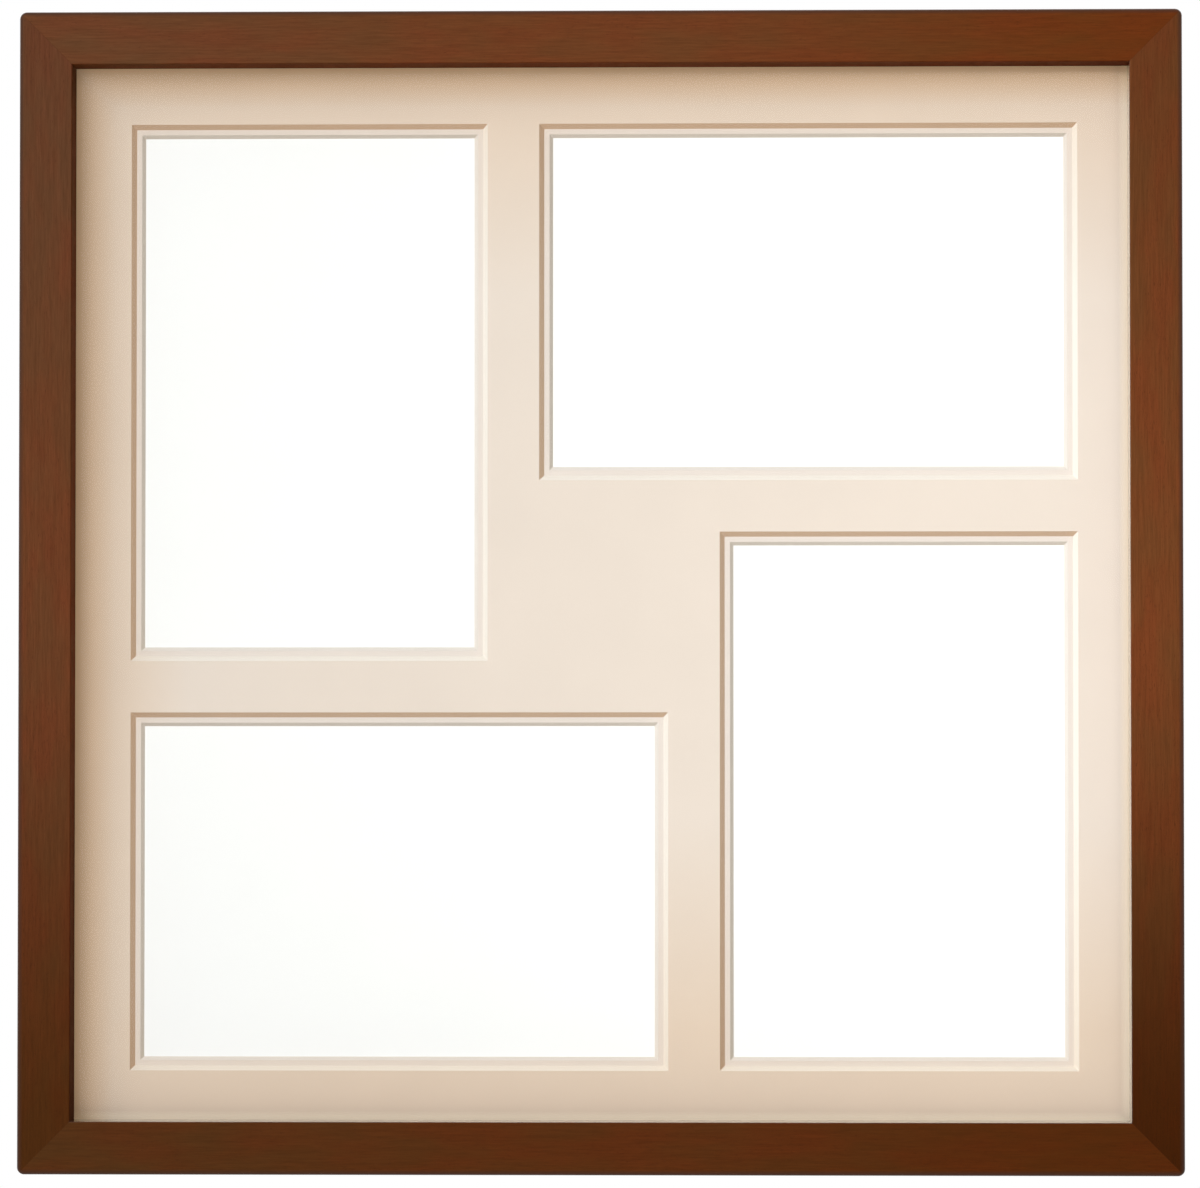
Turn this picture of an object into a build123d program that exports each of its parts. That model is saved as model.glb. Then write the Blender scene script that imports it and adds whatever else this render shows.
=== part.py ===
from build123d import *
import math
import os

# Collage photo frame. Four mitred wooden rails hold glass, a double mat with four
# windows, four cards and a backing board. Turn buttons close the back, and two
# D-rings hang the frame on the wall.
# Millimetres. X runs to the viewer's right, the front faces -Y, and Z is up.
# The origin is in the wall plane, midway between the points where two wall hooks
# hold the raised rings. The pieces are drawn about the middle of the front face,
# with depth counted from it, and are moved to that origin as they are written.

# Cards of a standard print's size, how far the under mat laps over their long and
# short edges, and the tape that holds them
card_short = 101.6
card_long = 152.4
long_edge_lap = 3.7
short_edge_lap = 3.35
tape_width = 19.0
tape_reach = 6.0

# Windows: the step of under mat that shows in them, the bar of top mat between two
# of them, and the top mat that shows between them and the rails
bevel_angle = 45.0
mat_reveal = 1.5
window_gap = 14.7
mat_border = 14.9

# Wooden rails
face_width = 15.0
lip_depth = 12.0
rebate_width = 5.0
corner_radius = 2.0
front_arris_radius = 1.5
back_arris_radius = 0.8
sight_arris_radius = 0.4

# What the rebate holds, from the glass to the backing board. It rests on the bottom
# rail and lies near the right one.
pack_clearance = 1.0
pack_right_gap = 0.2
glass_thickness = 2.0
glass_arris = 0.25
top_mat_thickness = 1.4
under_mat_thickness = 1.0
card_thickness = 0.3
tape_thickness = 0.15
backing_thickness = 3.0
backing_recess = 0.15

# V-nails across the mitres, two at each corner
nail_leg = 4.5
nail_sheet = 0.4
nail_height = 7.0
nail_sink = 0.2
nail_inset_outer = 3.0
nail_pitch = 3.2

# Turn buttons
button_width = 8.0
button_sheet = 1.0
button_reach = 17.0
button_tip_radius = 2.5
button_lift_length = 3.5
button_lift_angle = 22.0
button_gap = 0.2
button_corner_inset = 70.0

# Screws of the turn buttons and of the strap hangers
screw_shank_radius = 1.25
screw_head_radius = 2.7
screw_head_height = 1.5
screw_head_gap = 0.2
screw_grip_length = 9.0
screw_tip_length = 2.0
cross_length = 2.9
cross_width = 0.75
cross_depth = 1.0
turning_clearance = 0.08
pilot_clearance = 0.05

# Strap hangers, a little below the upper turn buttons of the side rails, and their
# D-rings. A ring's width and length are those of its wire's middle line, and its
# edge gap keeps it out of sight from the front.
strap_width = 6.4
strap_sheet = 0.6
strap_length = 19.6
strap_top_layer_length = 18.9
strap_screw_drop = 15.2
hanger_below_button = 40.0
ring_wire_radius = 0.8
ring_bar_clearance = 0.05
ring_width = 9.2
ring_length = 11.0
ring_corner_radius = 1.2
ring_edge_gap = 0.8
ring_rest_tilt = 6.0

# Wall bumpers
bumper_radius = 4.0
bumper_height = 4.0
bumper_edge_radius = 0.9
bumper_corner_inset = 24.0

# How far a cut runs past the face that it opens
overrun = 1.0

# A quarter of a turn, in degrees
quarter_turn = 90

# Sizes that follow from those above: the windows from the cards, the rails from the
# windows, and the rebate and what fills it from the rails
bevel_slope = math.tan(math.radians(bevel_angle))
top_bevel = top_mat_thickness * bevel_slope
under_bevel = under_mat_thickness * bevel_slope
window_rim = top_bevel + mat_reveal + under_bevel
window_short = card_short - 2 * long_edge_lap + 2 * window_rim
window_long = card_long - 2 * short_edge_lap + 2 * window_rim
windows_half = (window_short + window_gap + window_long) / 2

sight_side = 2 * (windows_half + mat_border)
outer_side = sight_side + 2 * face_width
half_side = outer_side / 2
land_width = face_width - rebate_width
rebate_side = outer_side - 2 * land_width
pack_side = rebate_side - 2 * pack_clearance
land_centre = half_side - land_width / 2
pack_centre = (pack_clearance - pack_right_gap, -pack_clearance)

glass_back = lip_depth + glass_thickness
top_mat_back = glass_back + top_mat_thickness
under_mat_back = top_mat_back + under_mat_thickness
card_back = under_mat_back + card_thickness
backing_front = card_back + tape_thickness
backing_back = backing_front + backing_thickness
rail_depth = backing_back + backing_recess
wall_depth = rail_depth + bumper_height

button_offset = half_side - button_corner_inset
bumper_offset = half_side - bumper_corner_inset
hanger_height = button_offset - hanger_below_button
knuckle_bore = ring_wire_radius + ring_bar_clearance
knuckle_radius = knuckle_bore + strap_sheet
ring_hook_height = hanger_height + ring_length - ring_wire_radius
hanger_line = half_side - ring_edge_gap - ring_wire_radius - ring_width / 2


def block(x, depth, z):
    """A box from its lowest and highest x, depth and z."""
    size = Box(x[1] - x[0], depth[1] - depth[0], z[1] - z[0])
    return Pos(sum(x) / 2, sum(depth) / 2, sum(z) / 2) * size


def square(side, depth, centre=(0, 0)):
    """A square block of this side about a centre, over a span of depth."""
    x = (centre[0] - side / 2, centre[0] + side / 2)
    z = (centre[1] - side / 2, centre[1] + side / 2)
    return block(x, depth, z)


def prism(outline, depth):
    """A solid of an outline in x and z, over a span of depth."""
    points = [(x, depth[0], z) for x, z in outline]
    face = make_face(Polyline(*points, close=True))
    return extrude(face, amount=depth[1] - depth[0], dir=(0, 1, 0))


def pegged(radius, depth, place=(0, 0)):
    """A round bar along the depth, at a place in x and z."""
    bar = Cylinder(radius, depth[1] - depth[0], rotation=(quarter_turn, 0, 0))
    return Pos(place[0], sum(depth) / 2, place[1]) * bar


def frame_blank():
    """The four rails in one, before they are cut apart at the mitres."""
    blank = square(outer_side, (0, rail_depth))
    blank = fillet(blank.edges().filter_by(Axis.Y), corner_radius)
    front = blank.faces().sort_by(Axis.Y)[0].outer_wire().edges()
    blank = fillet(front, front_arris_radius)
    back = blank.faces().sort_by(Axis.Y)[-1].outer_wire().edges()
    blank = fillet(back, back_arris_radius)
    blank -= square(sight_side, (-overrun, rail_depth + overrun))
    sight = blank.faces().sort_by(Axis.Y)[0].inner_wires()[0].edges()
    blank = fillet(sight, sight_arris_radius)
    return blank - square(rebate_side, (lip_depth, rail_depth + overrun))


def turned(solid, quarter):
    """A solid turned about the middle of the frame by quarter turns."""
    return Rot(0, -quarter_turn * quarter, 0) * solid


def corner_nails():
    """The V-nails at the top right corner, with their legs along the rails."""
    depth = (rail_depth - nail_sink - nail_height, rail_depth - nail_sink)
    nails = []
    for count in range(2):
        apex = half_side - nail_inset_outer - count * nail_pitch
        along_top = block((apex - nail_leg, apex), depth, (apex - nail_sheet, apex))
        along_right = block((apex - nail_sheet, apex), depth, (apex - nail_leg, apex))
        nails.append(along_top + along_right)
    return nails


def button_places():
    """Where each turn button pivots: name, quarter turn and distance along the rail."""
    places = []
    for quarter, side in enumerate(("top", "left", "bottom", "right")):
        for number, way in ((1, -1), (2, 1)):
            places.append((f"{side}_{number}", quarter, way * button_offset))
    return places


def screw(head_seat):
    """A cross-head screw at the middle of the frame, with its head on this depth."""
    tip = rail_depth - screw_grip_length
    rod = pegged(screw_shank_radius, (tip + screw_tip_length, head_seat))
    point = Cone(0, screw_shank_radius, screw_tip_length, rotation=(-quarter_turn, 0, 0))
    rod += Pos(0, tip + screw_tip_length / 2, 0) * point
    top = head_seat + screw_head_height
    head = pegged(screw_head_radius, (head_seat, top))
    rim = head.edges().filter_by(GeomType.CIRCLE).sort_by(Axis.Y)[-1]
    head = fillet(rim, screw_head_height / 2)
    slot_depth = (top - cross_depth, top + overrun)
    half_long = cross_length / 2
    half_wide = cross_width / 2
    head -= block((-half_long, half_long), slot_depth, (-half_wide, half_wide))
    head -= block((-half_wide, half_wide), slot_depth, (-half_long, half_long))
    return rod + head


def pilot_hole():
    """What is drilled from the back of a rail for one screw."""
    radius = screw_shank_radius + pilot_clearance
    depth = (rail_depth - screw_grip_length - pilot_clearance, rail_depth + overrun)
    return pegged(radius, depth)


def turn_button():
    """A turn button whose hole is at the middle of the frame and whose tongue points down."""
    near = rail_depth + button_gap
    far = near + button_sheet
    bend = button_reach - button_lift_length
    rise = button_lift_length * math.tan(math.radians(button_lift_angle))
    half = button_width / 2
    side = [(near, half), (near, -bend), (near + rise, -button_reach)]
    side += [(far + rise, -button_reach), (far, -bend), (far, half)]
    points = [(-half, depth, z) for depth, z in side]
    plate = extrude(make_face(Polyline(*points, close=True)), amount=button_width, dir=(1, 0, 0))
    outline = Circle(half) + Pos(0, -button_reach / 2) * Rectangle(button_width, button_reach)
    tip = outline.vertices().group_by(Axis.Y)[0]
    outline = fillet(tip, button_tip_radius)
    plan = extrude(Plane.XZ * outline, amount=far + rise + overrun, dir=(0, 1, 0))
    hole = pegged(screw_shank_radius + turning_clearance, (near - overrun, far + overrun))
    return (plate & plan) - hole


def knuckle_axis_depth():
    """The depth of the axis that a D-ring turns on."""
    return rail_depth + knuckle_radius


def strap_hanger(x):
    """A strap folded round the bar of its D-ring and screwed to the rail."""
    half = strap_width / 2
    across = (x - half, x + half)
    lower = block(across, (rail_depth, rail_depth + strap_sheet), (-strap_length, 0))
    folded_depth = (rail_depth + strap_sheet, rail_depth + 2 * strap_sheet)
    folded = block(across, folded_depth, (-strap_top_layer_length, -knuckle_bore))
    along_x = (0, quarter_turn, 0)
    knuckle = Cylinder(knuckle_radius, strap_width, rotation=along_x)
    bore = Cylinder(knuckle_bore, strap_width + 2 * overrun, rotation=along_x)
    at_axis = Pos(x, knuckle_axis_depth(), 0)
    strap = lower + folded + at_axis * knuckle
    strap -= at_axis * bore
    corners = strap.edges().filter_by(Axis.Y).group_by(Axis.Z)[0]
    strap = fillet(corners, half - strap_sheet)
    hole_depth = (rail_depth - overrun, rail_depth + 2 * strap_sheet + overrun)
    hole_radius = screw_shank_radius + pilot_clearance
    strap -= pegged(hole_radius, hole_depth, (x, -strap_screw_drop))
    return Pos(0, 0, hanger_height) * strap


def hanger_ring(x):
    """A D-ring of bent wire that hangs from its bar and leans on the strap."""
    half = ring_width / 2
    inner = half - ring_corner_radius
    bow_centre = half - ring_length
    bar = Line((-inner, 0), (inner, 0))
    bends = [
        RadiusArc((inner, 0), (half, -ring_corner_radius), ring_corner_radius),
        RadiusArc((-half, -ring_corner_radius), (-inner, 0), ring_corner_radius),
    ]
    legs = [
        Line((half, -ring_corner_radius), (half, bow_centre)),
        Line((-half, bow_centre), (-half, -ring_corner_radius)),
    ]
    bow = ThreePointArc((half, bow_centre), (0, -ring_length), (-half, bow_centre))
    path = Wire((Curve() + [bar, bow] + bends + legs).edges())
    section = Plane(origin=(0, 0, 0), z_dir=(1, 0, 0)) * Circle(ring_wire_radius)
    ring = sweep(section, path=path)
    ring = Plane.XZ * ring
    at_axis = Pos(x, knuckle_axis_depth(), hanger_height)
    return at_axis * Rot(ring_rest_tilt, 0, 0) * ring


def corner_windows():
    """Each window's name, middle, width and height, and whether it stands upright."""
    windows = []
    for name, across, up, upright in (
        ("top_left", -1, 1, True),
        ("top_right", 1, 1, False),
        ("bottom_left", -1, -1, False),
        ("bottom_right", 1, -1, True),
    ):
        wide = window_short if upright else window_long
        high = window_long if upright else window_short
        x = pack_centre[0] + across * (windows_half - wide / 2)
        z = pack_centre[1] + up * (windows_half - high / 2)
        windows.append((name, (x, z), wide, high, upright))
    return windows


def bevelled_hole(centre, wide, high, front, back):
    """What a slanted blade cuts out of a mat, wide and high at its front face."""
    ends = []
    for depth in (front - overrun, back + overrun):
        run = 2 * (depth - front) * bevel_slope
        plane = Plane(origin=(centre[0], depth, centre[1]), x_dir=(1, 0, 0), z_dir=(0, -1, 0))
        ends.append(plane * Rectangle(wide - run, high - run))
    return loft(ends, ruled=True)


def mat(front, back, rim):
    """A mat over this span of depth, with its windows drawn in by a rim all round."""
    board = square(pack_side, (front, back), pack_centre)
    for _, centre, wide, high, _ in corner_windows():
        board -= bevelled_hole(centre, wide - 2 * rim, high - 2 * rim, front, back)
    return board


def glass_pane():
    """The glass, with seamed edges."""
    pane = square(pack_side, (lip_depth, glass_back), pack_centre)
    return chamfer(pane.edges(), glass_arris)


def photo_card(centre, upright):
    """A blank card that lies on the back of the under mat, behind one opening."""
    wide = card_short if upright else card_long
    high = card_long if upright else card_short
    x = (centre[0] - wide / 2, centre[0] + wide / 2)
    z = (centre[1] - high / 2, centre[1] + high / 2)
    return block(x, (under_mat_back, card_back), z)


def tape_strips(centre, upright):
    """The strips over a card's upper and lower edges, stepped down onto the mat."""
    high = card_long if upright else card_short
    strips = []
    for way in (1, -1):
        edge = centre[1] + way * high / 2
        on_mat = sorted((edge, edge + way * tape_reach))
        on_card = sorted((edge - way * tape_reach, edge + way * tape_thickness))
        riser = sorted((edge, edge + way * tape_thickness))
        across = (centre[0] - tape_width / 2, centre[0] + tape_width / 2)
        strip = block(across, (under_mat_back, under_mat_back + tape_thickness), on_mat)
        strip += block(across, (under_mat_back, backing_front), riser)
        strip += block(across, (card_back, backing_front), on_card)
        strips.append(strip)
    return strips


def wall_bumper(x):
    """A round bumper on the back of the bottom rail."""
    bumper = pegged(bumper_radius, (rail_depth, wall_depth), (x, -land_centre))
    rim = bumper.edges().filter_by(GeomType.CIRCLE).sort_by(Axis.Y)[-1]
    return fillet(rim, bumper_edge_radius)


def at_button(solid, quarter, along):
    """A solid drawn at the middle of the frame, set where a turn button pivots."""
    return turned(Pos(-along, 0, land_centre) * solid, quarter)


def rails(nails):
    """The four rails, cut at the mitres, slotted for the nails and drilled for the screws."""
    blank = frame_blank()
    for nail in nails:
        blank -= nail
    for _, quarter, along in button_places():
        blank -= at_button(pilot_hole(), quarter, along)
    for way in (-1, 1):
        place = Pos(way * hanger_line, 0, hanger_height - strap_screw_drop)
        blank -= place * pilot_hole()
    wedge = prism([(0, 0), (half_side, half_side), (-half_side, half_side)], (0, rail_depth))
    names = ("top_rail", "left_rail", "bottom_rail", "right_rail")
    return {name: blank & turned(wedge, quarter) for quarter, name in enumerate(names)}


def frame_pieces():
    """Every piece by name. A group of like fasteners is a list of solids."""
    nails = []
    for quarter in range(4):
        nails += [turned(nail, quarter) for nail in corner_nails()]
    pieces = rails(nails)
    pieces["corner_v_nails"] = nails

    pieces["glass_pane"] = glass_pane()
    pieces["top_mat"] = mat(glass_back, top_mat_back, 0)
    pieces["under_mat"] = mat(top_mat_back, under_mat_back, top_bevel + mat_reveal)
    pieces["card_tapes"] = []
    for name, centre, _, _, upright in corner_windows():
        pieces["photo_card_" + name] = photo_card(centre, upright)
        pieces["card_tapes"] += tape_strips(centre, upright)
    pieces["backing_board"] = square(pack_side, (backing_front, backing_back), pack_centre)

    button_head_seat = rail_depth + button_gap + button_sheet + screw_head_gap
    pieces["turn_button_screws"] = []
    for name, quarter, along in button_places():
        pieces["turn_button_" + name] = at_button(turn_button(), quarter, along)
        pieces["turn_button_screws"].append(at_button(screw(button_head_seat), quarter, along))

    pieces["hanger_screws"] = []
    for name, way in (("left", -1), ("right", 1)):
        x = way * hanger_line
        pieces["strap_hanger_" + name] = strap_hanger(x)
        pieces["hanger_ring_" + name] = hanger_ring(x)
        strap_head_seat = rail_depth + 2 * strap_sheet
        place = Pos(x, 0, hanger_height - strap_screw_drop)
        pieces["hanger_screws"].append(place * screw(strap_head_seat))
    pieces["wall_bumpers"] = [wall_bumper(way * bumper_offset) for way in (-1, 1)]
    return pieces


def write_pieces():
    """Moves each piece to the frame's origin and writes it as one STEP file."""
    os.makedirs("parts", exist_ok=True)
    to_origin = Pos(0, -wall_depth, -ring_hook_height)
    for name, piece in frame_pieces().items():
        solids = piece if isinstance(piece, list) else [piece]
        placed = [solid for each in solids for solid in (to_origin * each).solids()]
        export_step(placed[0] if len(placed) == 1 else Compound(placed), f"parts/{name}.step")


write_pieces()
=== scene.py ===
"""Collage photo frame: stained wooden rails, a double mat with four windows, and the fittings
that close its back and hang it on a wall.

The file is laid out as an add-on and is run as a script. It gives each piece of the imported
frame its finish, then sets the floor, the lamps and the camera. Lengths are in metres. X runs
to the viewer's right, the front faces -Y, Z is up, and the origin lies midway between the wall
hooks.
"""

import math

import bmesh
import bpy
from bpy.props import FloatProperty, FloatVectorProperty, PointerProperty
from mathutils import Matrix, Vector


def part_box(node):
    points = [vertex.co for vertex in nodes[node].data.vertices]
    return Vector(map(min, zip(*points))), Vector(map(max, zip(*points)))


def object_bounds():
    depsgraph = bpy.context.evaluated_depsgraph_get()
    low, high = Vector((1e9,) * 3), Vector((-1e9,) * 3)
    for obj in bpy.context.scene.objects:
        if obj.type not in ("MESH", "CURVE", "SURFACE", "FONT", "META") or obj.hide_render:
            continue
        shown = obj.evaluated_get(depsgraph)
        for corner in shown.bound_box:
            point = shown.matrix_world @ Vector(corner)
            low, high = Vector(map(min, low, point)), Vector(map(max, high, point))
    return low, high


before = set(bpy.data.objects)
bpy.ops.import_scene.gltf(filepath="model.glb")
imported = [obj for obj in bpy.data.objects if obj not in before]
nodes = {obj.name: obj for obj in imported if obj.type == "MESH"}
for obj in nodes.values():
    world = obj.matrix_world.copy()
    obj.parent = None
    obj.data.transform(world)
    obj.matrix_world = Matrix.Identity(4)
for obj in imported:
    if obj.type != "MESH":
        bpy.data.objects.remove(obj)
cad_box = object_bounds()

bl_info = {
    "name": "Collage Photo Frame",
    "version": (1, 0, 0),
    "blender": (4, 5, 0),
    "location": "3D View > Sidebar > Photo Frame",
    "description": "Finishes a wall frame with four windows: stained wood, mats, glass and fittings",
    "category": "Object",
}

# The frame's own places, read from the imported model
front = cad_box[0].y
bottom = cad_box[0].z
middle = Vector(((cad_box[0].x + cad_box[1].x) / 2, front, (cad_box[0].z + cad_box[1].z) / 2))
half_side = (cad_box[1].x - cad_box[0].x) / 2
face_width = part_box("top_rail")[1].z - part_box("top_rail")[0].z
sight_half = half_side - face_width

# Each rail's turn about the depth axis, its place in the timber, and its tones at the left or
# lower end, in the middle and at the other end. The tones are partly each rail's own tone of
# wood and partly painted shade, darker towards the bottom
RAILS = {
    "top_rail": (0.0, 0.3, (0.9, 1.1, 1.4), (0.95, 0.95, 0.95), (0.85, 0.65, 0.35)),
    "left_rail": (math.pi / 2, 1.9, (0.45, 0.4, 0.25), (0.95, 1.0, 1.15), (0.8, 1.0, 1.4)),
    "bottom_rail": (0.0, 3.1, (0.55, 0.6, 0.5), (0.6, 0.5, 0.35), (0.5, 0.35, 0.15)),
    "right_rail": (math.pi / 2, 4.6, (0.25, 0.15, 0.05), (1.05, 1.0, 0.9), (0.85, 0.85, 0.8)),
}
# How far apart the places in the timber are
TIMBER_STEP = Vector((0.83, 0.17, 0.39))

# The ways that the backing board's fibres lie, in radians
DARK_FIBRE_SLANTS = (0.3, 1.4, 2.5)
PALE_FIBRE_SLANTS = (0.9, 1.9, 2.9)

# Lamps: azimuth and elevation in degrees from the front, and distance in metres, then their sizes
KEY_PLACE = (-38.0, 30.0, 1.5)
FRONT_PLACE = (0.0, 0.0, 1.4)
POOL_PLACE = (-14.0, 10.0, 2.0)
REAR_PLACE = (146.0, 30.0, 1.6)
KEY_SIDE, FRONT_SIDE, REAR_SIDE = 1.1, 1.3, 1.6
# The radius of the pool lamp, and how far its light reaches on the frame
POOL_SIZES = (0.15, 0.25)

# Where the camera stands and what it looks at, from the middle of the front, and its lens in mm
CAMERA_PLACE = Vector((0.0485, -1.8, -0.0557))
CAMERA_AIM = Vector((0.00015, 0.0, -0.0008))
CAMERA_LENS = 191.0

# Where the floor starts to fade and where it is white, as shares of its radius
FLOOR_FADE = (0.3, 0.75)

# The pane lies against the mat, so it is drawn this much thinner on every side
PANE_INSET = 0.00002


def srgb(red, green, blue):
    """A colour as it shows on a screen, from 0 to 255, in the linear values that nodes take."""
    shares = [value / 255 for value in (red, green, blue)]
    return tuple(v / 12.92 if v <= 0.04045 else ((v + 0.055) / 1.055) ** 2.4 for v in shares)


def colour(name, description, default):
    """A colour that the user can change."""
    return FloatVectorProperty(
        name=name, description=description, default=default,
        subtype="COLOR", size=3, min=0.0, max=1.0,
    )


def length(name, description, default):
    """A length that the user can change, in metres."""
    return FloatProperty(
        name=name, description=description, default=default,
        unit="LENGTH", subtype="DISTANCE", min=0.0, precision=5,
    )


def share(name, description, default):
    """An amount from 0 to 1 that the user can change."""
    return FloatProperty(
        name=name, description=description, default=default,
        subtype="FACTOR", min=0.0, max=1.0,
    )


def level(name, description, default):
    """A brightness that the user can change, where a strength of 1 shows white as white."""
    return FloatProperty(name=name, description=description, default=default, min=0.0, soft_max=5.0)


class WoodSettings(bpy.types.PropertyGroup):
    """The stain, the grain and the lacquer of the rails."""

    stain: colour("Stain", "Main colour of the stained wood", srgb(99, 54, 30))
    olive_stain: colour("Olive stain", "Colour of the greener patches", srgb(95, 55, 31))
    red_stain: colour("Red stain", "Colour of the redder patches", srgb(102, 52, 29))
    pore: colour("Pores", "Colour of the open pores", srgb(54, 27, 14))
    bare: colour("Thin stain", "Colour of the back, where the stain was wiped thin", srgb(138, 92, 58))
    # The arris colour is painted shade with a grey painted reflection on the rounded outer edge
    arris_shade: colour("Arris", "Colour of the rounded outer edge", srgb(66, 47, 40))
    lip_shade: colour("Lip shade", "Tint of the lip's inner wall at the left and top", (0.8, 0.55, 0.25))
    sheen: colour("Sheen", "Tint of the lacquer's shine, seen straight on", (1.0, 0.45, 0.12))
    streak_length: length("Streak length", "How long a streak of grain is", 0.012)
    streak_width: length("Streak width", "How wide a streak of grain is", 0.0006)
    pore_length: length("Pore length", "How long an open pore is", 0.0014)
    pore_width: length("Pore width", "How wide an open pore is", 0.00014)
    pore_depth: length("Pore depth", "How deep the grain is felt", 0.00002)
    # Width of the painted shade and reflection on the rounded outer edge
    arris_shade_width: length("Arris width", "How wide the worn outer edge is", 0.0016)
    seam_width: length("Seam width", "How wide the seam of a mitre shows", 0.0005)
    # Share of that painted shade and reflection
    arris_shade_share: share("Arris share", "How much of its own colour the arris shows", 0.6)
    bare_share: share("Thin stain share", "How thin the stain on the back is", 0.45)
    seam_share: share("Seam share", "How much a seam darkens the wood", 0.15)
    back_dullness: share("Back dullness", "How much duller the back is than the front", 0.22)
    lip_dullness: share("Lip dullness", "How much duller the lip is at the left and top", 0.6)


class MatSettings(bpy.types.PropertyGroup):
    """The boards, the cards and the tape behind the glass."""

    board: colour("Board", "Colour of the top mat's facing paper", srgb(233, 219, 205))
    under_board: colour("Under board", "Colour of the under mat's facing paper", srgb(230, 219, 209))
    core: colour("Core", "The top mat's cuts that face left or up", srgb(246, 238, 227))
    # Painted shade on the top mat's cuts that face right or down
    painted_shade_core: colour(
        "Toned core", "The top mat's cuts that face right or down", srgb(200, 171, 144),
    )
    under_core: colour(
        "Under core", "The under mat's cuts that face left or up", srgb(234, 226, 217),
    )
    # Painted shade on the under mat's cuts that face right or down
    under_painted_shade_core: colour(
        "Under toned core", "The under mat's cuts that face right or down", srgb(206, 195, 182),
    )
    # Painted shade that darkens and warms the top, bottom and left of the boards, where the light falls
    # off
    falloff_shade_tone: colour("Aged tone", "Tint of the aged top, bottom and left", (0.955, 0.875, 0.785))
    # Painted bounce light: a warm pale glow on the board beside the right and bottom rails
    glow: colour("Glow", "Colour right beside the right and bottom rails", (1.0, 0.84, 0.65))
    # Painted shadow of the lip on the board beside the left and top rails
    lip_shadow_tone: colour("Edge tone", "Tint right beside the left and top rails", (0.93, 0.77, 0.58))
    card: colour("Card", "Colour of the blank cards in the windows", srgb(255, 255, 253))
    tape: colour("Tape", "Colour of the paper tape that holds the cards", srgb(226, 216, 192))
    # Where that painted shade lies on the boards
    falloff_shade_width: length("Aged width", "How far the aged tone reaches from the top and bottom", 0.075)
    falloff_shade_lift: length("Aged lift", "How far up both of those aged bands are moved", 0.01)
    falloff_shade_side: length("Aged side", "How far the aged tone reaches from the left", 0.032)
    # How far the painted lip shadow reaches in from the rails
    edge_width: length("Edge width", "How far the edge tone reaches from the rails", 0.011)
    # How far the painted bounce light reaches in from the rails
    glow_width: length("Glow width", "How far the rails' warm glow reaches in", 0.0025)
    tooth_size: length("Tooth", "Size of the paper's fine tooth", 0.00035)
    tooth_depth: length("Tooth depth", "Height of the paper's fine tooth", 0.00001)
    # How much of that painted shade the cuts and the under mat take
    cut_falloff_shade: share("Cut ageing", "How much the cuts age beside the paper", 0.6)
    under_falloff_shade: share("Under ageing", "How much the under mat ages beside the top mat", 0.5)
    board_clouds: share("Board clouds", "Brightness of the boards where they are cloudy", 0.97)
    card_clouds: share("Card clouds", "Brightness of the cards where they are cloudy", 0.992)
    tape_clouds: share("Tape clouds", "Brightness of the tape where it is cloudy", 0.9)


class BackSettings(bpy.types.PropertyGroup):
    """The backing board and the fittings."""

    hardboard: colour("Hardboard", "Main colour of the backing board", srgb(156, 118, 84))
    fibre: colour("Dark fibres", "Colour of the dark fibres in the backing board", srgb(92, 62, 40))
    pale_fibre: colour("Pale fibres", "Colour of the pale fibres in the board", srgb(180, 148, 112))
    steel: colour("Plated steel", "Colour of the nickel-plated fittings", srgb(176, 172, 164))
    tarnish: colour("Tarnish", "Colour where the plating is dull", srgb(118, 112, 104))
    bare_steel: colour("Bare steel", "Colour of the V-nails", srgb(128, 127, 126))
    rubber: colour("Rubber", "Colour of the wall bumpers", srgb(38, 37, 36))
    fibre_length: length("Fibre length", "How long a fibre of the hardboard is", 0.0022)
    brush_length: length("Brush marks", "How long the fine marks in the plating are", 0.0018)
    brush_depth: length("Brush depth", "How deep the marks in the plating are", 0.000006)
    fibre_depth: length("Fibre depth", "How deep the hardboard's texture is", 0.00002)
    rubber_grain: length("Rubber grain", "Size of the fine grain of the bumpers", 0.0004)
    rubber_depth: length("Rubber depth", "How deep the grain of the bumpers is", 0.00002)
    plate_dullness: share("Plate dullness", "Roughness of the plated fittings", 0.26)
    bare_dullness: share("Bare dullness", "Roughness of the V-nails", 0.42)


class StageSettings(bpy.types.PropertyGroup):
    """The floor, the lamps and the camera."""

    floor: colour("Floor", "Colour of the floor", srgb(243, 242, 240))
    floor_drop: length("Floor drop", "How far the floor lies below the frame", 0.5)
    floor_radius: length("Floor radius", "Where the floor ends", 1.4)
    floor_glow: share("Floor glow", "How far the floor's middle fades to white", 0.45)
    fill: level("Fill", "Brightness of the light from all round", 0.285)
    key: level("Key", "Brightness of the soft lamp above on the left", 1.9)
    front_fill: level("Front fill", "Brightness of the soft lamp in front", 1.95)
    pool: level("Pool", "Brightness of the lamp that lights the right middle", 0.27)
    rear: level("Rear", "Brightness of the soft lamp behind", 0.7)


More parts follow.
